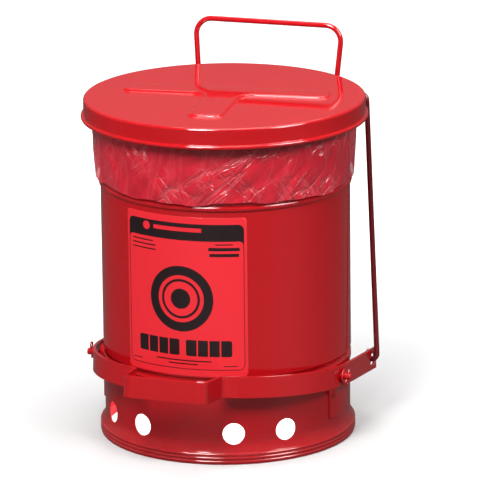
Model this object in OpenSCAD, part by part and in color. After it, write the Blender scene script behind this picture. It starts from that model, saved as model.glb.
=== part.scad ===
// Foot-operated round steel waste can with a self-closing lid.
// Axis of the can on Z, floor at z = 0, pedal towards -Y, lid hinge towards +Y.
// Every length is in millimetres and every angle in degrees.

/* [Can body] */
// Outer radius of the side wall
body_r = 146; // [140:1:152]
// Thickness of the sheet steel
sheet = 1.1; // [0.8:0.1:1.4]
// Height of the rolled rim's top
rim_top_z = 400.6; // [396:0.2:400.8]
// Height of the raised stiffening ring
ring_z = 304; // [290:1:306]
// Height of the pressed groove above the skirt
groove_z = 99; // [96:1:102]

/* [Ventilated base] */
// Outer radius of the base at the floor
base_r = 150.8; // [149:0.2:153]
// Height at which the skirt begins to flare
flare_z = 27; // [24:1:30]
// Diameter of a vent hole
vent_d = 25.4; // [18:0.2:27]
// Height of the vent hole centres
vent_z = 35.5; // [33:0.5:40]
// Height of the raised floor pan
pan_z = 56; // [52:1:62]

/* [Lid] */
// Outer radius of the lid's flange
lid_r = 164.5; // [163.5:0.5:165]
// Height of the lid's top face
lid_top_z = 403; // [403:0.5:404]
// Height of the flange's rolled bead
bead_z = 381; // [380:0.5:382]
// Height of the pressed T shape on the lid
rib_h = 2.5; // [1:0.5:4]
// Turn of the pressed T shape about the lid's centre
rib_turn = 8; // [-10:1:10]

/* [Linkage] */
// Y of the pedal's pivot studs
pivot_y = -30; // [-32:1:-28]
// Height of the pedal's pivot studs
pivot_z = 85; // [84:1:86]
// Slope of the pedal yoke at rest, rise per unit forward
yoke_slope = 0.1; // [0.08:0.01:0.12]
// Height of the yoke's flat bar
bar_h = 25.4; // [24:0.2:26]
// Thickness of the yoke's flat bar
bar_t = 3.2; // [3:0.1:3.4]
// How far the pedal stands in front of the can's axis
pedal_y = 200; // [190:1:205]
// Diameter of the lift rods
rod_d = 6.35; // [5:0.05:6.4]
// Y of the lid's hinge pin
hinge_y = 158.5; // [158:0.5:159]
// Height of the lid's hinge pin
hinge_z = 391; // [390:0.5:392]

/* [Handle] */
// Diameter of the handle's wire
bail_d = 6.35; // [5:0.05:6.5]
// Height of the handle's top bar, to its centre
bail_top_z = 453; // [440:1:470]
// Turn of the handle about the can's axis, away from the hinge
bail_turn = 2; // [0:0.5:2]

/* [Label and liner] */
// Half of the angle that the label spans
label_half = 30; // [24:1:32]
// Lower edge of the label
label_low = 104.5; // [104:0.5:110]
// Upper edge of the label
label_high = 294; // [280:1:296]
// Lower edge of the liner's hem outside the can
hem_z = 311; // [309:1:330]

/* [Hidden] */
LEFT = -1;
RIGHT = 1;
RED = [0.72, 0.10, 0.13];
DARK_RED = [0.35, 0.05, 0.07];
fine = 96;
round_fn = 48;
gap = 0.1;

skirt_r = body_r - sheet - gap;
shell_low_z = 88;
skirt_top_z = 93.5;
curl_r = 2.4;
chime_h = 12;
foot_in_r = 144.6;
vent_angles = [23, 48, 132, 157];

stud_r = 4;
stud_end_x = 164.8;
cotter_x = 160.6;
left_cotter_turn = 0;
right_cotter_turn = 140;
arm_outer_x = 155;
arm_mid_x = arm_outer_x - bar_t / 2;
arm_centre_y = -10;
front_b = pedal_y - 37.8 + arm_centre_y;
arm_end_y = 92;
pedal_half = 49;
pedal_shift = -4;

slot_y = 78;
slot_z = pivot_z - yoke_slope * (slot_y - pivot_y);
slot_half_h = 7.5;
slot_half_l = 10.4;

rod_r = rod_d / 2;
rod_bend = 7;
rod_top_y = 99;
rod_top_z = hinge_z;
rod_low_x = 160.3;
rod_top_x = 141;
rod_low_end_x = 146;
rod_top_end_x = 120.5;
rod_run = sqrt(pow(rod_top_y - slot_y, 2) + pow(rod_top_z - slot_z, 2));
rod_lean = atan((rod_top_y - slot_y) / (rod_top_z - slot_z));

pin_r = 2.5;
pin_half = 26;
knuckle_r = 5;
leaf_half = 16;
ear_in = 17;
ear_t = 3;
notch_half = 30;
pivot_clear = 0.06;

bail_lean = 0.11;
bail_foot_z = 268;
bail_foot_y = body_r + 3.4;
bail_tilt = atan(bail_lean);
bail_bar_x = 92;
bail_knee_x = 85.5;
bail_foot_x = 40;
bail_knee_z = 374;
bail_neck_z = 322;

// Places a child on the right side, or its mirror image on the left side.
module on_side(side) {
    if (side == LEFT) mirror([1, 0, 0]) children();
    else children();
}

// A straight round bar along X from x0 to x1.
module bar_x(x0, x1, r) {
    translate([x0, 0, 0]) rotate([0, 90, 0]) cylinder(r = r, h = x1 - x0, $fn = round_fn);
}

function heading(a, b) = atan2(b[1] - a[1], b[0] - a[0]);
function wrap(a) = a > 180 ? a - 360 : (a <= -180 ? a + 360 : a);
function step(p, dir, len) = p + len * [cos(dir), sin(dir)];

// A wire of radius r in the XZ plane through the corners p, bent to radius bend at each one.
// Each bend runs one degree into the straights beside it, a hair thinner than they are.
module planar_wire(p, r, bend) {
    n = len(p);
    for (i = [0 : n - 2]) {
        dir = heading(p[i], p[i + 1]);
        turn_in = i == 0 ? 0 : abs(wrap(dir - heading(p[i - 1], p[i])));
        turn_out = i == n - 2 ? 0 : abs(wrap(heading(p[i + 1], p[i + 2]) - dir));
        a = step(p[i], dir, bend * tan(turn_in / 2));
        b = step(p[i + 1], dir, -bend * tan(turn_out / 2));
        translate([a[0], 0, a[1]]) rotate([0, 90 - dir, 0])
            cylinder(r = r, h = norm(b - a), $fn = round_fn);
    }
    for (i = [1 : n - 2]) {
        dir = heading(p[i - 1], p[i]);
        turn = wrap(heading(p[i], p[i + 1]) - dir);
        side = turn > 0 ? 1 : -1;
        a = step(p[i], dir, -bend * tan(abs(turn) / 2));
        c = step(a, dir + 90 * side, bend);
        start = turn > 0 ? dir - 90 : dir + 90 + turn;
        translate([c[0], 0, c[1]]) rotate([90, 0, 0]) rotate([0, 0, start - 1])
            rotate_extrude(angle = abs(turn) + 2, $fn = fine)
                translate([bend, 0]) circle(r = r - 0.03, $fn = round_fn);
    }
}

// A ring of sheet between two radii and two heights.
module tube(r_out, r_in, z0, z1) {
    difference() {
        translate([0, 0, z0]) cylinder(r = r_out, h = z1 - z0, $fn = fine);
        translate([0, 0, z0 - 1]) cylinder(r = r_in, h = z1 - z0 + 2, $fn = fine);
    }
}

// Side wall: plain cylinder, pressed groove, raised ring and a rolled rim.
module can_shell() {
    wall_in = body_r - sheet;
    curl_z = rim_top_z - curl_r;
    color(RED) rotate_extrude($fn = fine) difference() {
        union() {
            translate([wall_in, shell_low_z]) square([sheet, curl_z - shell_low_z]);
            translate([body_r + curl_r - sheet, curl_z]) circle(r = curl_r, $fn = 32);
            intersection() {
                translate([body_r - 2.1, ring_z]) circle(r = 4.2, $fn = 32);
                translate([wall_in, ring_z - 8]) square([8, 16]);
            }
            intersection() {
                translate([body_r + 1.6, groove_z]) circle(r = 5.2, $fn = 32);
                translate([body_r - 12, groove_z - 8]) square([12, 16]);
            }
        }
        translate([body_r + 1.6, groove_z]) circle(r = 4.1, $fn = 32);
    }
}

// Floor of the can, a shallow pan with an upturned edge inside the skirt.
module bottom_pan() {
    pan_r = skirt_r - sheet - gap;
    color(RED) rotate_extrude($fn = fine) {
        translate([0, pan_z]) square([pan_r, sheet]);
        translate([pan_r - sheet, pan_z]) square([sheet, 22]);
    }
}

// Outer radius of the skirt at height z, curving outwards below the flare.
function flare_r(z) = skirt_r + (base_r - 1.3 - skirt_r) * (1 - cos(90 * (flare_z - z) / (flare_z - chime_h)));

// Raised base with vent holes, a flared foot and a rolled chime.
module base_skirt() {
    steps = 6;
    zs = [for (i = [0 : steps]) chime_h + (flare_z - chime_h) * i / steps];
    outer = [for (z = zs) [flare_r(z), z]];
    inner = [for (i = [steps : -1 : 0]) [flare_r(zs[i]) - sheet, zs[i]]];
    color(RED) difference() {
        rotate_extrude($fn = fine) {
            polygon(concat(outer, [[skirt_r, skirt_top_z], [skirt_r - sheet, skirt_top_z]], inner));
            translate([foot_in_r, 0]) square([base_r - 0.7 - foot_in_r, chime_h + 0.5]);
            for (z = [2.8, 7.1, 11.4]) translate([base_r - 2, z]) circle(r = 2, $fn = 24);
        }
        for (side = [LEFT, RIGHT]) for (a = vent_angles)
            rotate([0, 0, side * a]) translate([0, -body_r - 8, vent_z]) rotate([-90, 0, 0])
                cylinder(d = vent_d, h = 20, $fn = round_fn);
    }
}

// Plate on the skirt with a turned-out lug that carries one pivot stud.
module pivot_bracket(side) {
    half_w = 10.5;
    mid_y = pivot_y + 3;
    lug_x = 147.9;
    color(RED) on_side(side) difference() {
        union() {
            intersection() {
                tube(skirt_r + 2.6, skirt_r + gap, 34, 84);
                translate([100, mid_y - half_w, 34]) cube([60, 2 * half_w, 50]);
            }
            translate([lug_x - 5.5, mid_y - half_w, 62]) cube([5.5, 2 * half_w, 23]);
            translate([lug_x - 5.5, mid_y, 85]) rotate([0, 90, 0])
                cylinder(r = half_w, h = 5.5, $fn = round_fn);
        }
        translate([0, 0, 30]) cylinder(r = skirt_r + gap, h = shell_low_z - 30.2, $fn = fine);
        translate([0, 0, shell_low_z - 0.3]) cylinder(r = body_r + gap, h = 30, $fn = fine);
        translate([0, pivot_y, pivot_z]) bar_x(130, 170, stud_r);
    }
}

// Shouldered stud that the yoke turns on.
module pivot_stud(side, turn) {
    color(RED) on_side(side) translate([0, pivot_y, pivot_z]) rotate([turn, 0, 0]) difference() {
        bar_x(146.4, stud_end_x, stud_r);
        translate([cotter_x, 0, -10]) cylinder(r = 1.2, h = 20, $fn = 24);
    }
}

module stud_washer(side) {
    color(RED) on_side(side) difference() {
        translate([0, pivot_y, pivot_z]) bar_x(arm_outer_x + 0.3, arm_outer_x + 2, 8.5);
        translate([0, pivot_y, pivot_z]) bar_x(150, 170, stud_r + pivot_clear);
    }
}

// Split pin through the stud: an eye and two legs side by side.
module cotter_pin(side, turn) {
    leg_r = 0.6;
    color(RED) on_side(side) translate([cotter_x, pivot_y, pivot_z]) rotate([turn, 0, 0]) {
        for (s = [-1, 1]) translate([0, s * leg_r * 0.8, -8]) cylinder(r = leg_r, h = 13.4, $fn = 24);
        translate([0, 0, 8]) rotate([0, 90, 0]) rotate_extrude($fn = 36)
            translate([3.3, 0]) circle(r = 0.95, $fn = 24);
    }
}

// Plan of the yoke's centre line, from the rear of one arm to the middle of the pedal.
function ellipse_pt(t) = [arm_mid_x * sin(t), arm_centre_y - front_b * cos(t)];
function corner(a, b, c, r, n) =
    let (u = (a - b) / norm(a - b), v = (c - b) / norm(c - b))
    let (half = acos(u * v) / 2, reach = r / tan(half), mid = (u + v) / norm(u + v))
    let (o = b + mid * r / sin(half), s = b + u * reach - o, e = b + v * reach - o)
    let (a0 = atan2(s[1], s[0]), da = wrap(atan2(e[1], e[0]) - a0))
    [for (i = [0 : n]) o + r * [cos(a0 + da * i / n), sin(a0 + da * i / n)]];
function side_path(shift) =
    let (join_t = 22, join = ellipse_pt(join_t), front = [pedal_half + shift, -pedal_y])
    let (side_top = [pedal_half + 4 + shift, join[1] - 1])
    concat(
        [[arm_mid_x, arm_end_y]],
        [for (t = [90 : -2 : 26]) ellipse_pt(t)],
        corner(ellipse_pt(26), side_top, front, 6, 8),
        corner(side_top, front, [0, -pedal_y], 9, 10)
    );
function flip(p) = [for (i = [len(p) - 1 : -1 : 0]) [-p[i][0], p[i][1]]];
function normal_at(p, i) =
    let (a = p[max(i - 1, 0)], b = p[i], c = p[min(i + 1, len(p) - 1)])
    let (u = i == 0 ? (c - b) / norm(c - b) : (b - a) / norm(b - a))
    let (v = i == len(p) - 1 ? u : (c - b) / norm(c - b))
    let (m = (u + v) / norm(u + v))
    [-m[1], m[0]] / (m * u);
function shifted(p, d) = [for (i = [0 : len(p) - 1]) p[i] + d * normal_at(p, i)];
function reversed(p) = [for (i = [len(p) - 1 : -1 : 0]) p[i]];

// One flat bar bent round the can's front half, with the foot pedal in the middle.
module pedal_yoke() {
    path = concat(side_path(pedal_shift), flip(side_path(-pedal_shift)));
    slope = atan(yoke_slope);
    color(RED) difference() {
        translate([0, pivot_y, pivot_z]) rotate([-slope, 0, 0]) translate([0, -pivot_y, -bar_h / 2])
            linear_extrude(height = bar_h)
                polygon(concat(shifted(path, bar_t / 2), reversed(shifted(path, -bar_t / 2))));
        translate([0, pivot_y, pivot_z]) bar_x(-170, 170, stud_r + pivot_clear);
        for (side = [LEFT, RIGHT]) on_side(side)
            translate([0, slot_y, slot_z]) rotate([-slope, 0, 0]) {
                reach = slot_half_l - slot_half_h;
                for (s = [-1, 1]) translate([0, s * reach, 0]) bar_x(140, 170, slot_half_h);
                translate([140, -reach, -slot_half_h]) cube([30, 2 * reach, 2 * slot_half_h]);
            }
    }
}

// Round rod with an inward hook at each end, from the yoke's slot up to the lid's flange.
module lift_rod(side) {
    color(DARK_RED) on_side(side)
        translate([0, slot_y, slot_z]) rotate([-rod_lean, 0, 0])
            planar_wire([
                [rod_low_end_x, 0], [rod_low_x, 0], [rod_top_x, rod_run], [rod_top_end_x, rod_run]
            ], rod_r, rod_bend);
}

// Push nut that keeps a rod's lower hook in the slot.
module rod_nut(side) {
    color(DARK_RED) on_side(side) translate([0, slot_y, slot_z]) difference() {
        bar_x(147.6, 149.4, 11.5);
        bar_x(140, 160, rod_r);
    }
}

// Push nut that keeps a rod's upper hook in the lid's flange.
module lid_nut(side) {
    color(DARK_RED) on_side(side) translate([0, rod_top_y, rod_top_z]) difference() {
        bar_x(122.8, 124.2, 5);
        bar_x(110, 140, rod_r);
    }
}

// A flat rectangle from corner [x0, y0], w by h, with rounded corners.
module round_rect(x0, y0, w, h, r) {
    translate([x0 + r, y0]) square([w - 2 * r, h]);
    translate([x0, y0 + r]) square([w, h - 2 * r]);
    for (x = [x0 + r, x0 + w - r]) for (y = [y0 + r, y0 + h - r])
        translate([x, y]) circle(r = r, $fn = 24);
}

// Pressed T shape, its bar across the lid and its stem towards the pedal.
module rib_outline() {
    bar_half = 120;
    bar_w = 28;
    stem_w = 33;
    stem_end = -108;
    rotate([0, 0, rib_turn]) {
        round_rect(-bar_half, 0, 2 * bar_half, bar_w, 8);
        round_rect(-stem_w / 2, stem_end, stem_w, 12 - stem_end, 8);
    }
}

// Points of a quarter circle from straight up to straight out.
function quarter(c, r, n) = [for (i = [0 : n]) c + r * [sin(90 * i / n), cos(90 * i / n)]];

// Lid: flat top, deep flange with a rolled bead, and a notch for the hinge at the rear.
module lid_shell() {
    edge = 3;
    under = lid_top_z - sheet;
    centre = [lid_r - edge, lid_top_z - edge];
    outer = concat([[0, lid_top_z]], quarter(centre, edge, 6), [[lid_r, bead_z]]);
    inner = concat([[0, under]], quarter(centre, edge - sheet, 6), [[lid_r - sheet, bead_z]]);
    color(RED) difference() {
        union() {
            rotate_extrude($fn = fine) {
                polygon(concat(outer, reversed(inner)));
                translate([lid_r + 0.7, bead_z]) circle(r = 2.5, $fn = 32);
            }
            translate([0, 0, lid_top_z - 0.2]) linear_extrude(height = rib_h + 0.2) rib_outline();
        }
        translate([-notch_half, 140, bead_z - 10]) cube([2 * notch_half, 40, under - edge - bead_z + 10]);
        for (side = [LEFT, RIGHT]) on_side(side) translate([0, rod_top_y, rod_top_z])
            bar_x(110, 150, rod_r + pivot_clear);
    }
}

// Leaf under the lid's rear edge with the long knuckle of the hinge.
module lid_hinge_leaf() {
    under = lid_top_z - sheet;
    color(RED) difference() {
        union() {
            translate([-leaf_half, 152.4, under - 1.9]) cube([2 * leaf_half, 8.6, 1.8]);
            translate([-leaf_half, hinge_y - 1, hinge_z]) cube([2 * leaf_half, 2, under - 1 - hinge_z]);
            translate([0, hinge_y, hinge_z]) bar_x(-leaf_half, leaf_half, knuckle_r);
        }
        translate([0, hinge_y, hinge_z]) bar_x(-40, 40, pin_r + pivot_clear);
    }
}

// Bracket on the can's rear with two ears that hold the hinge pin.
module hinge_bracket() {
    plate_low = 326;
    plate_high = 378;
    color(RED) difference() {
        union() {
            intersection() {
                tube(body_r + 2.6, body_r + gap, plate_low, plate_high);
                translate([-ear_in - ear_t, 100, plate_low]) cube([2 * (ear_in + ear_t), 60, 60]);
            }
            for (x = [-ear_in - ear_t, ear_in]) translate([x, 0, 0]) rotate([90, 0, 90])
                linear_extrude(height = ear_t) polygon([
                    [body_r - 0.5, plate_low + 6], [body_r + 4, plate_high], [hinge_y - 5, hinge_z],
                    [hinge_y, hinge_z + 4], [hinge_y + 5, hinge_z], [hinge_y + 2, plate_high - 8],
                    [body_r + 6, plate_low + 6]
                ]);
            for (x = [-ear_in - ear_t, ear_in]) translate([0, hinge_y, hinge_z])
                bar_x(x, x + ear_t, knuckle_r);
        }
        translate([0, 0, plate_low - 1]) cylinder(r = body_r + gap, h = 80, $fn = fine);
        translate([0, hinge_y, hinge_z]) bar_x(-40, 40, pin_r);
    }
}

module hinge_pin() {
    color(DARK_RED) translate([0, hinge_y, hinge_z]) bar_x(-pin_half, pin_half, pin_r);
}

// Push nuts on both ends of the hinge pin.
module hinge_pin_nuts() {
    color(DARK_RED) for (x = [-pin_half + 3, pin_half - 4.4])
        translate([0, hinge_y, hinge_z]) difference() {
            bar_x(x, x + 1.4, 4.6);
            bar_x(-40, 40, pin_r);
        }
}

// Wire handle standing behind the lid, which also stops the lid when it is open.
module bail_handle() {
    s = 1 / cos(bail_tilt);
    half = [[bail_foot_x, 0], [bail_foot_x, (bail_neck_z - bail_foot_z) * s],
        [bail_knee_x, (bail_knee_z - bail_foot_z) * s], [bail_bar_x, (bail_top_z - bail_foot_z) * s]];
    mirrored = [for (i = [3 : -1 : 0]) [-half[i][0], half[i][1]]];
    color(RED) rotate([0, 0, bail_turn]) translate([0, bail_foot_y, bail_foot_z])
        rotate([-bail_tilt, 0, 0]) planar_wire(concat(half, mirrored), bail_d / 2, 19);
}

// Saddle welded to the can's rear that holds one leg of the handle.
module bail_clip(side) {
    clip_low = 270;
    clip_h = 28;
    mid_x = side * bail_foot_x;
    color(RED) rotate([0, 0, bail_turn]) difference() {
        translate([mid_x - 11, 125, clip_low]) cube([22, 30.7, clip_h]);
        translate([0, 0, clip_low - 1]) cylinder(r = body_r + gap, h = clip_h + 2, $fn = fine);
        translate([mid_x, bail_foot_y, bail_foot_z]) rotate([-bail_tilt, 0, 0])
            translate([0, 0, -20]) cylinder(r = bail_d / 2, h = 90, $fn = round_fn);
    }
}

// Printed sheet on the front of the can.
module label() {
    label_t = 0.3;
    corner_r = 5;
    width = 2 * body_r * sin(label_half);
    color([0.93, 0.16, 0.20]) intersection() {
        tube(body_r + 0.02 + label_t, body_r + 0.02, label_low - 1, label_high + 1);
        translate([0, -100, 0]) rotate([90, 0, 0]) linear_extrude(height = 60)
            round_rect(-width / 2, label_low, width, label_high - label_low, corner_r);
    }
}

// Plastic bag inside the can with its mouth folded over the rim, open behind for the hinge.
module liner_bag() {
    film = 0.6;
    out_r = body_r + 4.4;
    in_r = body_r - sheet - 0.5;
    top_z = rim_top_z + 0.2;
    floor_z = pan_z + sheet + 0.3;
    pan_in = skirt_r - 2 * sheet - 3;
    color([0.85, 0.25, 0.32]) difference() {
        rotate_extrude($fn = fine) {
            translate([out_r - film, hem_z]) square([film, top_z - hem_z + film]);
            translate([in_r - film, top_z]) square([out_r - in_r + film, film]);
            translate([in_r - film, groove_z + 8]) square([film, top_z - groove_z - 8]);
            polygon([
                [in_r, groove_z + 8], [in_r - film, groove_z + 8],
                [pan_in - film, groove_z - 4], [pan_in, groove_z - 4]
            ]);
            translate([pan_in - film, floor_z]) square([film, groove_z - 4 - floor_z]);
            translate([0, floor_z]) square([pan_in, film]);
        }
        translate([-34, 141, hem_z - 5]) cube([68, 30, top_z - hem_z - 2]);
    }
}

can_shell();
bottom_pan();
base_skirt();
pivot_bracket(LEFT);  // left_bracket
pivot_bracket(RIGHT);  // right_bracket
pivot_stud(LEFT, left_cotter_turn);  // left_stud
pivot_stud(RIGHT, right_cotter_turn);  // right_stud
stud_washer(LEFT);  // left_washer
stud_washer(RIGHT);  // right_washer
cotter_pin(LEFT, left_cotter_turn);  // left_cotter
cotter_pin(RIGHT, right_cotter_turn);  // right_cotter
pedal_yoke();
lift_rod(LEFT);  // left_lift_rod
lift_rod(RIGHT);  // right_lift_rod
rod_nut(LEFT);  // left_rod_nut
rod_nut(RIGHT);  // right_rod_nut
lid_nut(LEFT);  // left_lid_nut
lid_nut(RIGHT);  // right_lid_nut
lid_shell();
lid_hinge_leaf();
hinge_bracket();
hinge_pin();
hinge_pin_nuts();
bail_handle();
bail_clip(LEFT);  // left_bail_clip
bail_clip(RIGHT);  // right_bail_clip
label();
liner_bag();
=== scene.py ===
"""Looks of a foot-operated round steel waste can with a hinged lid and a folded-over liner.

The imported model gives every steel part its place. This script dresses those parts in red enamel,
plated steel and print, adds the pressed T on the lid, the printed label and the plastic liner as
their own surfaces, and sets a plain pale studio round them.
"""

import logging
import math
from collections.abc import Callable
from dataclasses import dataclass, field
from enum import Enum

import bpy
import numpy as np
from mathutils import Matrix


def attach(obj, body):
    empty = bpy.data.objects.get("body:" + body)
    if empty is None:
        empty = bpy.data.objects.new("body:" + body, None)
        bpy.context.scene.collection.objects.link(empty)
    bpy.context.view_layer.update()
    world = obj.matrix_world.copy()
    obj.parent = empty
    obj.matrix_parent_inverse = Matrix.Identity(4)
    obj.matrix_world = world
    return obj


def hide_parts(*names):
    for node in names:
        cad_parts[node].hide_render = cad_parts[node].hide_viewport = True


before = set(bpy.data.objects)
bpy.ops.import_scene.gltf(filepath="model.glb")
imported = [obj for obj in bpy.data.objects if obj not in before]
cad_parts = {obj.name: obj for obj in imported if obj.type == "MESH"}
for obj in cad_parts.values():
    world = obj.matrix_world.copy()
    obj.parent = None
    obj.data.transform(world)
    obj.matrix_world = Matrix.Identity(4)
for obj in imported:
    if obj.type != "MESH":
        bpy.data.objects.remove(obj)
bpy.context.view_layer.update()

LOG = logging.getLogger("waste_can")
Colour = tuple[float, float, float]
Mask = bpy.types.NodeSocket
MM = 0.001
DUST_COLOUR = (0.42, 0.30, 0.28)
DUST_HEIGHT = 0.035
INK_SOFTNESS = 0.18


class Body(Enum):
    """The moving bodies that a piece can ride on."""

    CAN = "can"
    LID = "lid"
    YOKE = "yoke"
    RODS = "rods"


class Slot(Enum):
    """The record's material slots."""

    RED = "red_paint"
    ROD = "rod_paint"
    STEEL = "dark_steel"
    PRINT = "label_print"
    FILM = "liner_film"


def smooth(x: np.ndarray) -> np.ndarray:
    """Smooth step: 3x^2 - 2x^3 with x held between 0 and 1."""
    x = np.clip(x, 0.0, 1.0)
    return x * x * (3.0 - 2.0 * x)


# ---------------------------------------------------------------------------
# Meshes
# ---------------------------------------------------------------------------


def grid_faces(rows: int, cols: int, wrap: bool) -> np.ndarray:
    """Quads of a grid of points, row by row.

    Args:
        rows: Number of points along the first parameter.
        cols: Number of points along the second parameter.
        wrap: Whether the last column joins the first one.

    Returns:
        An array of four point numbers for each quad.
    """
    r = np.arange(rows - 1)[:, None]
    c = np.arange(cols if wrap else cols - 1)[None, :]
    n = (c + 1) % cols
    quads = [r * cols + c, r * cols + n, (r + 1) * cols + n, (r + 1) * cols + c]
    return np.stack(np.broadcast_arrays(*quads), axis=-1).reshape(-1, 4)


def make_piece(name: str, points: np.ndarray, faces: list[list[int]]) -> bpy.types.Object:
    """Puts points and faces into a smooth-shaded object at the origin.

    Args:
        name: Name of the piece.
        points: Places in millimetres, one row for each point.
        faces: Point numbers of each face.

    Returns:
        The new object, linked to the scene.
    """
    mesh = bpy.data.meshes.new(name)
    mesh.from_pydata((points * MM).tolist(), [], faces)
    mesh.polygons.foreach_set("use_smooth", np.ones(len(mesh.polygons), dtype=bool))
    mesh.validate()
    mesh.update()
    piece = bpy.data.objects.new(name, mesh)
    bpy.context.scene.collection.objects.link(piece)
    return piece


def add_uv(piece: bpy.types.Object, uv: np.ndarray) -> None:
    """Gives the piece a UV map from one pair of values for each point.

    Args:
        piece: The mesh object.
        uv: A pair of values for each point, from 0 to 1.
    """
    mesh = piece.data
    corners = np.empty(len(mesh.loops), dtype=np.int32)
    mesh.loops.foreach_get("vertex_index", corners)
    layer = mesh.uv_layers.new(name="Sheet")
    layer.data.foreach_set("uv", uv[corners].astype(np.float32).ravel())


# ---------------------------------------------------------------------------
# Shader nodes
# ---------------------------------------------------------------------------


class Net:
    """A short way to place and join nodes in one tree."""

    def __init__(self, tree: bpy.types.NodeTree) -> None:
        """Keeps the tree that the nodes go into."""
        self.tree = tree

    def feed(self, spot: bpy.types.NodeSocket, value: object) -> None:
        """Links a socket to the input, or sets the input to a plain value."""
        if isinstance(value, bpy.types.NodeSocket):
            self.tree.links.new(value, spot)
        else:
            spot.default_value = value

    def add(self, kind: str, links: dict | None = None, **settings: object) -> bpy.types.Node:
        """Places one node.

        Args:
            kind: The node's type, without the leading "ShaderNode".
            links: Values or sockets by input name or number.
            settings: Attributes of the node, such as operation.

        Returns:
            The new node.
        """
        node = self.tree.nodes.new(kind if kind.startswith("Node") else "ShaderNode" + kind)
        for key, value in settings.items():
            setattr(node, key, value)
        for key, value in (links or {}).items():
            self.feed(node.inputs[key], value)
        return node

    def use(self, group: bpy.types.NodeTree, links: dict) -> bpy.types.Node:
        """Places a shader group.

        Args:
            group: The group's tree.
            links: Values or sockets by input name.

        Returns:
            The group's node.
        """
        node = self.tree.nodes.new("ShaderNodeGroup")
        node.node_tree = group
        for key, value in links.items():
            self.feed(node.inputs[key], value)
        return node

    def math(self, operation: str, *values: object) -> bpy.types.NodeSocket:
        """A Math node's result for the given values or sockets."""
        node = self.add("Math", dict(enumerate(values)), operation=operation)
        return node.outputs[0]

    def vector(self, operation: str, *values: object, out: int = 0) -> bpy.types.NodeSocket:
        """A Vector Math node's result for the given values or sockets."""
        node = self.add("VectorMath", dict(enumerate(values)), operation=operation)
        return node.outputs[out]

    def fade(self, value: bpy.types.NodeSocket, start: float, end: float) -> bpy.types.NodeSocket:
        """1 where the value is at the start or below it, 0 from the end on, and even between."""
        return self.add("MapRange", {0: value, 1: start, 2: end, 3: 1.0, 4: 0.0}).outputs[0]

    def mix(self, factor: object, a: object, b: object) -> bpy.types.NodeSocket:
        """A colour that goes from a to b with the factor."""
        node = self.tree.nodes.new("ShaderNodeMix")
        node.data_type = "RGBA"
        for key, value in ((0, factor), (6, a), (7, b)):
            self.feed(node.inputs[key], value)
        return node.outputs[2]


def rgba(colour: Colour) -> tuple[float, float, float, float]:
    """The colour with full opacity."""
    return (*colour, 1.0)


def new_group(name: str, inputs: dict[str, str], outputs: dict[str, str]) -> bpy.types.NodeTree:
    """An empty shader group with named sockets.

    Args:
        name: Name of the group.
        inputs: Socket type by input name.
        outputs: Socket type by output name.

    Returns:
        The group's tree.
    """
    group = bpy.data.node_groups.new(name, "ShaderNodeTree")
    for way, sockets in (("INPUT", inputs), ("OUTPUT", outputs)):
        for label, kind in sockets.items():
            group.interface.new_socket(label, in_out=way, socket_type="NodeSocket" + kind)
    return group


def surface_grain_group() -> bpy.types.NodeTree:
    """Uneven colour, gloss and relief of a coated surface, from soft noise at two scales.

    Returns:
        A group that puts out Colour, Roughness and Height.
    """
    group = new_group(
        "surface_grain",
        {
            "Colour": "Color",
            "Shade": "Color",
            "Variation": "Float",
            "Roughness": "Float",
            "Scale": "Float",
        },
        {"Colour": "Color", "Roughness": "Float", "Height": "Float"},
    )
    net = Net(group)
    given = net.add("NodeGroupInput")
    place = net.add("TexCoord").outputs["Object"]
    broad = net.add("TexNoise", {"Vector": place, "Scale": 9.0, "Detail": 3.0, "Roughness": 0.55})
    grain = net.add("TexNoise", {"Vector": place, "Scale": given.outputs["Scale"], "Detail": 2.0})
    patch = net.math("MULTIPLY", broad.outputs["Fac"], given.outputs["Variation"])
    colour = net.mix(patch, given.outputs["Colour"], given.outputs["Shade"])
    drift = net.math("MULTIPLY_ADD", broad.outputs["Fac"], 0.06, -0.03)
    fine = net.math("MULTIPLY_ADD", grain.outputs["Fac"], 0.04, -0.02)
    rough = net.math("ADD", net.math("ADD", given.outputs["Roughness"], drift), fine)
    net.add(
        "NodeGroupOutput",
        {"Colour": colour, "Roughness": rough, "Height": grain.outputs["Fac"]},
    )
    return group


def settled_dust_group() -> bpy.types.NodeTree:
    """Thin pale dust that lies near the floor and thins out with height.

    Returns:
        A group that puts out Colour.
    """
    group = new_group("settled_dust", {"Colour": "Color", "Amount": "Float"}, {"Colour": "Color"})
    net = Net(group)
    given = net.add("NodeGroupInput")
    place = net.add("TexCoord").outputs["Object"]
    height = net.add("SeparateXYZ", {0: place}).outputs["Z"]
    low = net.fade(height, 0.0, DUST_HEIGHT)
    speck = net.add("TexNoise", {"Vector": place, "Scale": 70.0, "Detail": 5.0, "Roughness": 0.7})
    film = net.math("MULTIPLY", low, speck.outputs["Fac"])
    amount = net.math("MULTIPLY", film, given.outputs["Amount"])
    dusty = net.mix(amount, given.outputs["Colour"], rgba(DUST_COLOUR))
    net.add("NodeGroupOutput", {"Colour": dusty})
    return group


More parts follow.
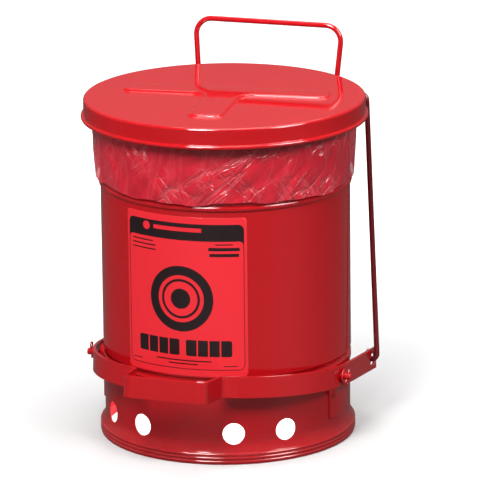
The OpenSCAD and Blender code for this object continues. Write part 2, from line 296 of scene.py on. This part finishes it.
def ink_bar_group() -> bpy.types.NodeTree:
    """A mask of a flat rectangle with rounded corners.

    The signed distance to the rectangle is the length of what lies past its inner corner,
    less the corner radius, and the mask is 1 inside and 0 outside.

    Returns:
        A group that puts out Mask.
    """
    group = new_group(
        "ink_bar",
        {"Place": "Vector", "Centre": "Vector", "Half": "Vector", "Radius": "Float"},
        {"Mask": "Float"},
    )
    net = Net(group)
    given = net.add("NodeGroupInput")
    radius = given.outputs["Radius"]
    from_centre = net.vector("SUBTRACT", given.outputs["Place"], given.outputs["Centre"])
    away = net.vector("ABSOLUTE", from_centre)
    past = net.add("SeparateXYZ", {0: net.vector("SUBTRACT", away, given.outputs["Half"])})
    x, y = net.math("ADD", past.outputs[0], radius), net.math("ADD", past.outputs[1], radius)
    outer = net.add("CombineXYZ", {0: net.math("MAXIMUM", x, 0.0), 1: net.math("MAXIMUM", y, 0.0)})
    length = net.vector("LENGTH", outer.outputs[0], out=1)
    inner = net.math("MINIMUM", net.math("MAXIMUM", x, y), 0.0)
    gap = net.math("SUBTRACT", net.math("ADD", length, inner), radius)
    mask = net.fade(gap, -INK_SOFTNESS, INK_SOFTNESS)
    net.add("NodeGroupOutput", {"Mask": mask})
    return group


def ink_disc_group() -> bpy.types.NodeTree:
    """A mask of a disc: 1 where the distance to the centre is under the radius.

    Returns:
        A group that puts out Mask.
    """
    group = new_group(
        "ink_disc", {"Place": "Vector", "Centre": "Vector", "Radius": "Float"}, {"Mask": "Float"}
    )
    net = Net(group)
    given = net.add("NodeGroupInput")
    far = net.vector("DISTANCE", given.outputs["Place"], given.outputs["Centre"], out=1)
    gap = net.math("SUBTRACT", far, given.outputs["Radius"])
    mask = net.fade(gap, -INK_SOFTNESS, INK_SOFTNESS)
    net.add("NodeGroupOutput", {"Mask": mask})
    return group


GRAIN = surface_grain_group()
DUST = settled_dust_group()
BAR = ink_bar_group()
DISC = ink_disc_group()


# ---------------------------------------------------------------------------
# Finishes
# ---------------------------------------------------------------------------


@dataclass(frozen=True)
class CoatedFinish:
    """Paint or plating over steel: a base colour that varies softly, and a gloss that does too."""

    name: str
    colour: Colour
    shade: Colour
    variation: float = 0.5
    roughness: float = 0.2
    grain: float = 700.0
    relief: float = 0.02
    coat: float = 0.0
    metallic: float = 0.0
    dust: float = 0.0
    edge: float = 0.0006

    def build(self) -> bpy.types.Material:
        """Makes the material.

        Returns:
            A material whose colour, roughness and relief vary over the surface.
        """
        material = bpy.data.materials.new(self.name)
        material.use_nodes = True
        material.node_tree.nodes.clear()
        net = Net(material.node_tree)
        grain = net.use(
            GRAIN,
            {
                "Colour": rgba(self.colour),
                "Shade": rgba(self.shade),
                "Variation": self.variation,
                "Roughness": self.roughness,
                "Scale": self.grain,
            },
        )
        colour = grain.outputs["Colour"]
        if self.dust:
            colour = net.use(DUST, {"Colour": colour, "Amount": self.dust}).outputs["Colour"]
        bevel = net.add("Bevel", {"Radius": self.edge}, samples=6)
        bump = net.add(
            "Bump",
            {
                "Strength": self.relief,
                "Distance": 0.001,
                "Height": grain.outputs["Height"],
                "Normal": bevel.outputs["Normal"],
            },
        )
        shader = net.add(
            "BsdfPrincipled",
            {
                "Base Color": colour,
                "Roughness": grain.outputs["Roughness"],
                "Normal": bump.outputs["Normal"],
                "Metallic": self.metallic,
                "Coat Weight": self.coat,
                "Coat Roughness": 0.06,
            },
        )
        net.add("OutputMaterial", {"Surface": shader.outputs[0]})
        return material


@dataclass(frozen=True)
class FilmFinish:
    """Thin soft plastic film: glossy creases with a painted highlight along them, painted shade across
    its facets, and a little of what is behind shows through.
    """

    name: str
    colour: Colour
    # deep: the dark end of the random tone, and the colour of the painted shade across the facets.
    deep: Colour
    # pale: the colour of the painted highlight along the creases.
    pale: Colour
    cut: tuple[float, float] = (0.94, 0.60)
    opacity: float = 0.9
    roughness: float = 0.17

    def build(self) -> bpy.types.Material:
        """Makes the material.

        Thin lines are the film's sharp creases: they run where a drawn-out noise passes
        its middle value. They are raised in the relief, and their colour is painted towards
        the pale colour as a painted highlight. The facets between them are long slanting
        cells, raised towards each cell's edge, so that each one catches the light its own
        way; their colour darkens towards each cell's edge as painted shade.

        Returns:
            A material with slanting creases and facets in its relief and colour.
        """
        material = bpy.data.materials.new(self.name)
        material.use_nodes = True
        material.node_tree.nodes.clear()
        net = Net(material.node_tree)
        cut = (*self.cut, 1.0)
        place = net.vector("MULTIPLY", net.add("TexCoord").outputs["UV"], cut)
        patch = net.add("TexNoise", {"Vector": place, "Scale": 16.0, "Detail": 3.0, "Distortion": 0.6})
        blotch = patch.outputs["Fac"]
        lines = []
        for lean, across in ((0.85, 58.0), (-0.65, 74.0), (0.25, 40.0)):
            turned = net.add("Mapping", {"Vector": place, "Rotation": (0.0, 0.0, lean)})
            drawn = net.vector("MULTIPLY", turned.outputs[0], (across, 0.16 * across, 1.0))
            fold = net.add("TexNoise", {"Vector": drawn, "Scale": 1.0, "Detail": 3.0, "Distortion": 0.5})
            away = net.math("ABSOLUTE", net.math("SUBTRACT", fold.outputs["Fac"], 0.5))
            lines.append(net.fade(away, 0.0, 0.035))
        crossed = net.math("MAXIMUM", lines[0], net.math("MULTIPLY", lines[1], 0.8))
        some = net.add("MapRange", {0: blotch, 1: 0.42, 2: 0.60, 3: 0.0, 4: 1.0}).outputs[0]
        ridge = net.math("MULTIPLY_ADD", lines[2], 0.25, net.math("MULTIPLY", crossed, some))
        bent = net.vector("MULTIPLY_ADD", patch.outputs["Color"], (0.02, 0.02, 0.0), place)
        facets = []
        for lean, across, along in ((0.75, 62.0, 19.0), (-0.60, 34.0, 11.0)):
            turned = net.add("Mapping", {"Vector": bent, "Rotation": (0.0, 0.0, lean)})
            drawn = net.vector("MULTIPLY", turned.outputs[0], (across, along, 1.0))
            facets.append(net.add("TexVoronoi", {"Vector": drawn, "Scale": 1.0}).outputs["Distance"])
        tone = net.mix(blotch, rgba(self.deep), rgba(self.colour))
        # Painted shade: the colour darkens towards the deep colour near each facet cell's edge.
        painted_facet_shade = net.mix(net.math("MULTIPLY", facets[1], 0.45), tone, rgba(self.deep))
        # Painted highlight: the crease lines are painted towards the pale colour.
        colour = net.mix(net.math("MULTIPLY", ridge, 0.26), painted_facet_shade, rgba(self.pale))
        rough = net.math("MULTIPLY_ADD", blotch, 0.2, self.roughness - 0.1)
        crumple = net.math("MULTIPLY_ADD", facets[1], 1.3, facets[0])
        relief = net.math("MULTIPLY_ADD", ridge, 0.35, crumple)
        bump = net.add("Bump", {"Strength": 1.0, "Distance": 0.0034, "Height": relief})
        shader = net.add(
            "BsdfPrincipled",
            {
                "Base Color": colour,
                "Roughness": rough,
                "Normal": bump.outputs["Normal"],
                "Alpha": self.opacity,
                "Coat Weight": 0.6,
                "Coat Roughness": 0.08,
                "Sheen Weight": 0.45,
                "Sheen Roughness": 0.5,
                "Sheen Tint": (1.0, 0.05, 0.10, 1.0),
            },
        )
        net.add("OutputMaterial", {"Surface": shader.outputs[0]})
        return material


@dataclass(frozen=True)
class PrintFinish:
    """A bright sheet with dark print: a rounded frame, a header, a round emblem and plain bars."""

    name: str
    width: float
    height: float
    ground: Colour = (0.86, 0.022, 0.034)
    faded: Colour = (0.70, 0.015, 0.03)
    ink: Colour = (0.011, 0.003, 0.004)
    line: float = 0.8

    def build(self) -> bpy.types.Material:
        """Makes the material from masks laid out in millimetres about the sheet's centre.

        Returns:
            The print material.
        """
        material = bpy.data.materials.new(self.name)
        material.use_nodes = True
        material.node_tree.nodes.clear()
        net = Net(material.node_tree)
        uv = net.add("TexCoord").outputs["UV"]
        size = (self.width, self.height, 0.0)
        middle = (-self.width / 2, -self.height / 2, 0.0)
        place = net.vector("MULTIPLY_ADD", uv, size, middle)

        def bar(x: float, y: float, half_w: float, half_h: float, radius: float) -> Mask:
            """Mask of one rounded bar."""
            given = {"Centre": (x, y, 0.0), "Half": (half_w, half_h, 0.0), "Radius": radius}
            return net.use(BAR, {"Place": place, **given}).outputs["Mask"]

        def disc(x: float, y: float, radius: float) -> Mask:
            """Mask of one disc."""
            given = {"Centre": (x, y, 0.0), "Radius": radius}
            return net.use(DISC, {"Place": place, **given}).outputs["Mask"]

        def both(*masks: Mask) -> Mask:
            """Mask that holds where any of the masks does."""
            total = masks[0]
            for mask in masks[1:]:
                total = net.math("MAXIMUM", total, mask)
            return total

        def less(mask: Mask, hole: Mask) -> Mask:
            """The mask with the hole taken out."""
            return net.math("MULTIPLY", mask, net.math("SUBTRACT", 1.0, hole))

        half_w, half_h = self.width / 2 - 3.6, self.height / 2 - 8.0
        line = self.line
        rim = less(bar(0, 0, half_w, half_h, 7.0), bar(0, 0, half_w - line, half_h - line, 6.2))
        header = less(bar(0, 0, half_w, half_h, 7.0), bar(0, -11.5, half_w - line, half_h - 8.5, 5.0))
        ink = both(rim, header)
        ink = less(ink, both(bar(-6, 79.5, 30, 2.4, 0.6), disc(-46, 79.5, 5.0)))
        ink = both(ink, self._emblem(disc, both, less))
        left_bars = [(-52, 62, 15, 0.7), (-50, 57, 17, 0.7), (-50, 52, 17, 0.7)]
        right_bars = [(50, 63, 10, 0.7), (50, 57.5, 18, 1.9), (50, 50.5, 17, 1.9)]
        low_bars = [(0, -76.5, 34, 0.7), (0, -80.5, 18, 0.7), (56, -82, 8, 0.5), (-62, -81, 7, 0.5)]
        small = both(*[bar(*spot, 0.4) for spot in left_bars + right_bars + low_bars])
        blocks = both(bar(-31, -61, 27, 9.6, 2.2), bar(31, -61, 27, 9.6, 2.2))
        gaps = both(*[bar(x, -61, 0.9, 11.0, 0.2) for x in (-44.5, -31, -17.5, 17.5, 31, 44.5)])
        ink = both(ink, small, less(blocks, gaps))
        wear = net.add("TexNoise", {"Vector": place, "Scale": 0.09, "Detail": 4.0})
        fading = net.math("MULTIPLY", wear.outputs["Fac"], 0.16)
        ground = net.mix(fading, rgba(self.ground), rgba(self.faded))
        colour = net.mix(ink, ground, rgba(self.ink))
        rough = net.math("MULTIPLY_ADD", wear.outputs["Fac"], 0.14, 0.30)
        bump = net.add("Bump", {"Strength": 0.06, "Distance": 0.0005, "Height": wear.outputs["Fac"]})
        shader = net.add(
            "BsdfPrincipled", {"Base Color": colour, "Roughness": rough, "Normal": bump.outputs["Normal"]}
        )
        net.add("OutputMaterial", {"Surface": shader.outputs[0]})
        return material

    @staticmethod
    def _emblem(disc: Callable[..., Mask], both: Callable[..., Mask], less: Callable[..., Mask]) -> Mask:
        """A plain round emblem: a broad ring, a thin ring inside it and a disc in the middle.

        Args:
            disc: Makes the mask of a disc.
            both: Joins masks.
            less: Takes one mask out of another.

        Returns:
            The emblem's mask.
        """
        centre = (-2.0, -3.0)
        broad = less(disc(*centre, 39.0), disc(*centre, 28.0))
        thin = less(disc(*centre, 23.5), disc(*centre, 20.5))
        return both(broad, thin, disc(*centre, 12.0))


ENAMEL = CoatedFinish(
    name="red_enamel",
    colour=(0.50, 0.0060, 0.010),
    shade=(0.41, 0.004, 0.008),
    roughness=0.055,
    relief=0.006,
    coat=0.1,
    edge=0.0011,
)
# The base skirt's enamel is a darker copy of the red enamel: painted shade on the skirt. Its dust near
# the floor is real dirt.
ENAMEL_BASE_PAINTED_SHADE = CoatedFinish(
    name="red_enamel_base_painted_shade",
    colour=(0.44, 0.0055, 0.010),
    shade=(0.36, 0.004, 0.008),
    roughness=0.08,
    coat=0.1,
    dust=0.10,
)
ENAMEL_ROD = CoatedFinish(
    name="dark_red_enamel",
    colour=(0.17, 0.006, 0.009),
    shade=(0.10, 0.004, 0.006),
    roughness=0.26,
    coat=0.3,
)
PLATED = CoatedFinish(
    name="plated_steel",
    colour=(0.34, 0.20, 0.20),
    shade=(0.22, 0.08, 0.08),
    variation=0.7,
    roughness=0.30,
    grain=900.0,
    relief=0.05,
    metallic=0.85,
    edge=0.0003,
)
FILM = FilmFinish(
    name="liner_film",
    colour=(0.95, 0.032, 0.058),
    # deep is also the colour of the painted shade on the facets.
    deep=(0.56, 0.006, 0.022),
    # pale is the painted highlight along the creases.
    pale=(0.97, 0.32, 0.36),
)


def dress(piece: bpy.types.Object, material: bpy.types.Material, body: Body) -> None:
    """Gives a new piece its material and body.

    Args:
        piece: The new object.
        material: Its finish.
        body: The body it moves with.
    """
    piece.data.materials.clear()
    piece.data.materials.append(material)
    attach(piece, body.value)


# ---------------------------------------------------------------------------
# Sub-assemblies
# ---------------------------------------------------------------------------


@dataclass
class SteelParts:
    """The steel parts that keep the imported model's shapes, grouped by finish."""

    finishes: dict[CoatedFinish, tuple[str, ...]] = field(
        default_factory=lambda: {
            ENAMEL: (
                "can_shell",
                "lid_shell",
                "lid_hinge_leaf",
                "hinge_bracket",
                "pedal_yoke",
                "bail_handle",
                "left_bail_clip",
                "right_bail_clip",
                "left_bracket",
                "right_bracket",
                "bottom_pan",
                "left_stud",
                "right_stud",
                "left_washer",
                "right_washer",
                "left_cotter",
                "right_cotter",
            ),
            ENAMEL_BASE_PAINTED_SHADE: ("base_skirt",),
            ENAMEL_ROD: ("left_lift_rod", "right_lift_rod"),
            PLATED: (
                "left_rod_nut",
                "right_rod_nut",
                "left_lid_nut",
                "right_lid_nut",
                "hinge_pin",
                "hinge_pin_nuts",
            ),
        }
    )

    def dress(self) -> None:
        """Puts each finish on its parts."""
        for finish, names in self.finishes.items():
            material = finish.build()
            for name in names:
                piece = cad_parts[name]
                for spot in piece.material_slots:
                    spot.material = material
            LOG.info("%s on %d parts", finish.name, len(names))


@dataclass
class PressedT:
    """The raised T on the lid, with soft pressed edges. Lengths are in millimetres."""

    top: float = 403.0
    bar_half: float = 120.0
    bar_width: float = 28.0
    stem_half: float = 18.0
    stem_end: float = -108.0
    corner: float = 8.0
    joint: float = 20.0
    turn: float = 8.0

    def outline(self) -> np.ndarray:
        """The T's closed outline, with every corner rounded.

        Each corner is an arc tangent to both of its edges. The arc's centre lies on the
        corner's bisector, at the radius over the sine of the half angle.

        Returns:
            Points in the lid's plane, counter-clockwise.
        """
        b, w, s, e = self.bar_half, self.bar_width, self.stem_half, self.stem_end
        corners = np.array(
            [(-b, 0), (-s, 0), (-s, e), (s, e), (s, 0), (b, 0), (b, w), (-b, w)],
            dtype=float,
        )
        is_joint = np.array([False, True, False, False, True, False, False, False])
        radii = np.where(is_joint, self.joint, self.corner)
        before = np.roll(corners, 1, axis=0) - corners
        after = np.roll(corners, -1, axis=0) - corners
        before /= np.linalg.norm(before, axis=1)[:, None]
        after /= np.linalg.norm(after, axis=1)[:, None]
        centres = corners + (before + after) * radii[:, None]
        start = -after * radii[:, None]
        end = -before * radii[:, None]
        t = np.linspace(0.0, np.pi / 2, 13)[None, :, None]
        arcs = centres[:, None, :] + start[:, None, :] * np.cos(t) + end[:, None, :] * np.sin(t)
        points = arcs.reshape(-1, 2)
        a = math.radians(self.turn)
        return points @ np.array([(math.cos(a), math.sin(a)), (-math.sin(a), math.cos(a))])

    def build(self, material: bpy.types.Material) -> None:
        """Builds the T as its outline carried along a pressed edge profile, with a flat top.

        Args:
            material: The lid's enamel.
        """
        path = self.outline()
        ahead = np.roll(path, -1, axis=0) - path
        behind = path - np.roll(path, 1, axis=0)
        ahead /= np.linalg.norm(ahead, axis=1)[:, None]
        behind /= np.linalg.norm(behind, axis=1)[:, None]
        along = ahead + behind
        along /= np.linalg.norm(along, axis=1)[:, None]
        outward = np.stack([along[:, 1], -along[:, 0]], axis=1)
        offset = np.array([4.2, 3.5, 2.9, 2.4, 1.9, 1.4, 0.8, -0.4, -1.8])
        rise = np.array([-0.05, 0.08, 0.40, 0.95, 1.65, 2.3, 2.66, 2.82, 2.85])
        plan = path[None, :, :] + outward[None, :, :] * offset[:, None, None]
        level = np.broadcast_to((self.top + rise)[:, None, None], plan.shape[:2] + (1,))
        points = np.concatenate([plan, level], axis=2).reshape(-1, 3)
        rows, cols = len(offset), len(path)
        faces = grid_faces(rows, cols, True).tolist()
        faces.append(list(range((rows - 1) * cols, rows * cols)))
        piece = make_piece("lid_pressed_t", points, faces)
        dress(piece, material, Body.LID)
        LOG.info("pressed T on the lid: %d faces", len(faces))


@dataclass
class FrontLabel:
    """The printed sheet on the can's front. Lengths are in millimetres, the angle in degrees."""

    radius: float = 146.34
    half_angle: float = 30.0
    low: float = 104.5
    high: float = 294.0
    corner: float = 5.0
    thickness: float = 0.25

    def build(self) -> None:
        """Builds the sheet as a thin closed shell bent round the can, with rounded corners.

        The outline is a rounded rectangle in arc length and height. Rows run from one side to
        the other, and the rows near the top and bottom are shortened to follow the corners.
        """
        half = self.radius * math.radians(self.half_angle)
        height = self.high - self.low
        v = np.concatenate(
            [
                self.corner * (1 - np.cos(np.linspace(0.02, np.pi / 2, 8))),
                np.linspace(self.corner, height - self.corner, 30)[1:-1],
                height - self.corner * (1 - np.cos(np.linspace(np.pi / 2, 0.02, 8))),
            ]
        )
        edge = np.minimum(v, height - v).clip(0, self.corner)
        reach = half - self.corner + np.sqrt(np.maximum(self.corner**2 - (self.corner - edge) ** 2, 0))
        u = np.linspace(-1.0, 1.0, 91)
        arc = reach[:, None] * u[None, :]
        z = np.broadcast_to((self.low + v)[:, None], arc.shape)
        angle = arc / self.radius

        def skin(radius: float) -> np.ndarray:
            """The sheet's points at one radius."""
            return np.stack([radius * np.sin(angle), -radius * np.cos(angle), z], axis=-1).reshape(-1, 3)

        rows, cols = arc.shape
        outer = grid_faces(rows, cols, False)
        count = rows * cols
        inner = outer[:, ::-1] + count
        index = np.arange(count).reshape(rows, cols)
        ring = np.concatenate([index[0, :-1], index[:-1, -1], index[-1, :0:-1], index[:0:-1, 0]])
        ahead = np.roll(ring, -1)
        wall = np.stack([ring, ring + count, ahead + count, ahead], axis=1)
        points = np.concatenate([skin(self.radius), skin(self.radius - self.thickness)])
        piece = make_piece("front_label", points, np.concatenate([outer, inner, wall]).tolist())
        flat = np.stack([(arc + half) / (2 * half), (z - self.low) / height], axis=-1).reshape(-1, 2)
        add_uv(piece, np.concatenate([flat, flat]))
        dress(piece, PrintFinish("label_print", 2 * half, height).build(), Body.CAN)
        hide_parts("label")
        LOG.info("front label: %d points", len(points))


@dataclass
class Liner:
    """The plastic bag in the can, with its mouth folded over the rim. Lengths are in millimetres."""

    outer: float = 150.2
    inner: float = 143.5
    brim: float = 401.0
    hem: float = 310.5
    floor: float = 58.2
    columns: int = 640

    def profile(self) -> tuple[np.ndarray, np.ndarray, np.ndarray]:
        """The section from the hem, up the outside, over the rim, down the inside and to the middle.

        Returns:
            Radius, height and the outside's share, one value for each row.
        """
        up = np.linspace(0.0, 1.0, 46)
        over = np.linspace(0.0, np.pi, 9)[1:-1]
        down = np.linspace(0.0, 1.0, 44)
        mid, half = (self.outer + self.inner) / 2, (self.outer - self.inner) / 2
        radius = np.concatenate(
            [
                np.full(46, self.outer),
                mid + half * np.cos(over),
                self.inner - 4.6 * smooth((down - 0.83) / 0.07),
                np.linspace(137.0, 4.0, 10),
            ]
        )
        height = np.concatenate(
            [
                self.hem + (self.brim - 1.6 - self.hem) * up,
                self.brim - 1.6 + 1.6 * np.sin(over),
                self.brim - 1.6 + (self.floor + 1.0 - self.brim + 1.6) * down,
                np.full(10, self.floor),
            ]
        )
        share = np.concatenate([1.0 - up, np.zeros(7), -down, np.full(10, -1.0)])
        return radius, height, share

    def build(self) -> None:
        """Builds the bag as a surface of revolution with creases.

        A crease is a ridge of 1 - |sin| to a power, whose phase runs with the angle and the
        height, so it slants. Outside, creases stand away from the can. Inside, they stand
        towards its axis. At the rear the mouth is drawn up clear of the hinge.
        """
        radius, height, share = self.profile()
        turn = np.linspace(0.0, 2 * np.pi, self.columns, endpoint=False)[None, :]
        rad, z, s = radius[:, None], height[:, None], share[:, None]
        rear = np.abs((turn - np.pi / 2 + np.pi) % (2 * np.pi) - np.pi)
        drawn = 1.0 - smooth((rear - math.radians(10.0)) / math.radians(4.5))
        hem_wave = 1.6 * np.sin(5 * turn + 0.6) + 1.1 * np.sin(11 * turn + 2.0)
        hem_wave = hem_wave + 0.7 * np.sin(23 * turn)
        lift = np.clip(s, 0.0, 1.0)
        z = z + lift * (drawn * (self.brim - 8.0 - self.hem) + (1 - drawn) * hem_wave)
        calm = smooth((rear - math.radians(13.0)) / math.radians(22.0))
        crease = np.zeros_like(z + turn)
        for count, slant, power, size, phase in (
            (9, 0.020, 3.0, 1.5, 0.4),
            (14, -0.032, 5.0, 1.3, 1.9),
            (23, 0.050, 6.0, 0.8, 3.1),
            (37, -0.070, 4.0, 0.4, 0.9),
        ):
            wave = np.sin(0.5 * (count * turn + slant * z + phase + 0.8 * np.sin(3 * turn + 0.02 * z)))
            crease += size * (1.0 - np.abs(wave)) ** power
        broad = 0.5 + 0.5 * np.sin(4 * turn + 0.03 * z + 1.0)
        near_rim = smooth((self.brim - z) / 16.0)
        outside = s > 0
        inside = (s < 0) & (s > -1)
        bulge = 2.6 * np.sin(np.pi * np.clip(s, 0.0, 1.0) ** 0.8)
        out = outside * near_rim * calm * (0.25 + bulge + crease * (0.55 + 0.45 * broad))
        rad = rad + out - inside * near_rim * crease * 0.8
        rad = np.broadcast_to(rad, crease.shape)
        z = np.broadcast_to(z, crease.shape)
        points = np.stack([rad * np.cos(turn), rad * np.sin(turn), z], axis=-1).reshape(-1, 3)
        rows, cols = crease.shape
        faces = grid_faces(rows, cols, True)[:, ::-1].tolist()
        pole = len(points)
        last = (rows - 1) * cols
        faces += [[last + i, pole, last + (i + 1) % cols] for i in range(cols)]
        points = np.concatenate([points, [[0.0, 0.0, self.floor]]])
        piece = make_piece("liner", points, faces)
        steps = np.hypot(np.diff(radius), np.diff(height))
        v = np.concatenate([[0.0], np.cumsum(steps)]) / steps.sum()
        u = np.linspace(0, 1, cols)
        uv = np.stack(np.broadcast_arrays(u[None, :], v[:, None]), axis=-1).reshape(-1, 2)
        add_uv(piece, np.concatenate([uv, [[0.5, 1.0]]]))
        dress(piece, FILM.build(), Body.CAN)
        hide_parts("liner_bag")


@dataclass(frozen=True)
class LightBox:
    """A flat light that faces the can. Angles are in degrees, lengths in metres, power in watts.

    The bearing is from the camera's side, and the rise is above the floor.
    """

    name: str
    bearing: float
    rise: float
    distance: float
    size: tuple[float, float]
    power: float
    reflected: bool = True
    diffuse: bool = True

    def build(self, azimuth: float) -> None:
        """Adds the light.

        Args:
            azimuth: The camera's own angle round the can.
        """
        data = bpy.data.lights.new(self.name, "AREA")
        data.shape = "RECTANGLE"
        data.size, data.size_y = self.size
        data.energy = self.power
        lamp = bpy.data.objects.new(self.name, data)
        bpy.context.scene.collection.objects.link(lamp)
        b, e = math.radians(azimuth + self.bearing), math.radians(self.rise)
        back = np.array([math.sin(b) * math.cos(e), -math.cos(b) * math.cos(e), math.sin(e)])
        place = self.distance * back + np.array([0.0, 0.0, CAN_MIDDLE])
        side = np.cross([0.0, 0.0, 1.0], back)
        side /= np.linalg.norm(side)
        axes = np.stack([side, np.cross(back, side), back], axis=1)
        lamp.matrix_world = Matrix.Translation(place.tolist()) @ Matrix(axes.tolist()).to_4x4()
        lamp.visible_glossy = self.reflected
        lamp.visible_diffuse = self.diffuse


CAN_MIDDLE = 0.2
LIGHT_BOXES = (
    LightBox("left_strip", -24.0, 46.0, 3.0, (0.55, 2.0), 76.0, diffuse=False),
    LightBox("right_strip", 57.0, 42.0, 3.0, (1.0, 1.8), 84.0, diffuse=False),
    LightBox("key_box", -22.0, 48.0, 3.0, (0.95, 1.3), 95.0),
    LightBox("side_box", 57.0, 38.0, 3.0, (1.35, 0.9), 46.0),
    LightBox("rear_box", 165.0, 55.0, 3.4, (2.2, 1.2), 30.0),
    LightBox("left_fill", -98.0, 10.0, 3.0, (1.3, 0.9), 18.0, reflected=False),
    LightBox("top_box", 10.0, 86.0, 2.6, (1.3, 1.3), 34.0),
)


@dataclass
class Studio:
    """A pale floor, a white surround, soft lights and the camera.

    The camera's place is in metres, its turns in degrees, and the floor is in millimetres.
    """

    distance: float = 5.2137
    height: float = 1.6667
    azimuth: float = 20.5
    yaw: float = 0.18
    pitch: float = 15.43
    roll: float = -0.62
    lens: float = 345.8
    floor_radius: float = 14000.0
    floor_level: float = -0.4
    floor_sides: int = 96

    def camera(self) -> None:
        """Places the camera in front of the can, a little above it, and turns it to the can."""
        turns = (self.azimuth, self.yaw, self.pitch, self.roll)
        a, yaw, pitch, roll = (math.radians(turn) for turn in turns)
        ahead = math.cos(pitch)
        forward = np.array([math.sin(yaw) * ahead, math.cos(yaw) * ahead, -math.sin(pitch)])
        level = np.array([math.cos(yaw), -math.sin(yaw), 0.0])
        upward = np.cross(level, forward)
        right = math.cos(roll) * level + math.sin(roll) * upward
        up = -math.sin(roll) * level + math.cos(roll) * upward
        spin = np.array([(math.cos(a), -math.sin(a), 0), (math.sin(a), math.cos(a), 0), (0, 0, 1)])
        axes = spin @ np.stack([right, up, -forward], axis=1)
        place = spin @ np.array([0.0, -self.distance, self.height])
        data = bpy.data.cameras.new("camera")
        data.sensor_width = 36.0
        data.lens = self.lens
        data.clip_end = 100.0
        camera = bpy.data.objects.new("camera", data)
        bpy.context.scene.collection.objects.link(camera)
        camera.matrix_world = Matrix.Translation(place.tolist()) @ Matrix(axes.tolist()).to_4x4()
        bpy.context.scene.camera = camera

    def lights(self) -> None:
        """Adds the boxes, and a lamp under the floor pan that shows in the vents."""
        for box in LIGHT_BOXES:
            box.build(self.azimuth)
        data = bpy.data.lights.new("under_floor_pan", "AREA")
        data.shape = "DISK"
        data.size = 0.26
        data.energy = 1.2
        lamp = bpy.data.objects.new("under_floor_pan", data)
        bpy.context.scene.collection.objects.link(lamp)
        lamp.matrix_world = Matrix.Translation((0.0, 0.0, 0.054))
        lamp.visible_camera = False

    def surround(self) -> None:
        """Sets a white surround that is dimmer in reflections than it is to the eye."""
        world = bpy.data.worlds.new("surround")
        bpy.context.scene.world = world
        world.use_nodes = True
        net = Net(world.node_tree)
        world.node_tree.nodes.clear()
        seen = net.add("LightPath").outputs["Is Camera Ray"]
        strength = net.math("MULTIPLY_ADD", seen, 0.83, 0.22)
        back = net.add("Background", {"Color": (1.0, 1.0, 1.0, 1.0), "Strength": strength})
        net.add("OutputWorld", {"Surface": back.outputs[0]})

    def floor(self) -> None:
        """Lays a wide pale floor disc just under the can. It brightens away from the can."""
        turn = np.linspace(0, 2 * np.pi, self.floor_sides, endpoint=False)
        flat = self.floor_radius * np.stack([np.cos(turn), np.sin(turn)], axis=1)
        rim = np.concatenate([flat, np.full((self.floor_sides, 1), self.floor_level)], axis=1)
        floor = make_piece("floor", rim, [list(range(self.floor_sides))])
        material = bpy.data.materials.new("pale_floor")
        material.use_nodes = True
        material.node_tree.nodes.clear()
        net = Net(material.node_tree)
        place = net.add("TexCoord").outputs["Object"]
        tone = net.add("TexNoise", {"Vector": place, "Scale": 0.8, "Detail": 2.0})
        pale = net.mix(tone.outputs["Fac"], rgba((0.52, 0.52, 0.52)), rgba((0.55, 0.55, 0.55)))
        away = net.vector("LENGTH", place, out=1)
        far = net.add("MapRange", {0: away, 1: 0.16, 2: 0.8, 3: 0.10, 4: 0.8})
        seen = net.add("LightPath").outputs["Is Camera Ray"]
        colour = net.mix(seen, rgba((0.055, 0.05, 0.05)), pale)
        shader = net.add(
            "BsdfPrincipled",
            {
                "Base Color": colour,
                "Roughness": 0.7,
                "Emission Color": (1.0, 1.0, 1.0, 1.0),
                "Emission Strength": net.math("MULTIPLY", seen, far.outputs[0]),
            },
        )
        net.add("OutputMaterial", {"Surface": shader.outputs[0]})
        floor.data.materials.append(material)

    def build(self) -> None:
        """Sets up the whole studio."""
        self.camera()
        self.lights()
        self.surround()
        self.floor()
        view = bpy.context.scene.view_settings
        view.view_transform = "Standard"
        view.look = "None"
        LOG.info("studio ready")


def main() -> None:
    """Builds the studio and every sub-assembly."""
    logging.basicConfig(level=logging.INFO, format="%(name)s: %(message)s")
    Studio().build()
    SteelParts().dress()
    PressedT().build(bpy.data.materials[ENAMEL.name])
    FrontLabel().build()
    Liner().build()


if __name__ == "__main__":
    main()
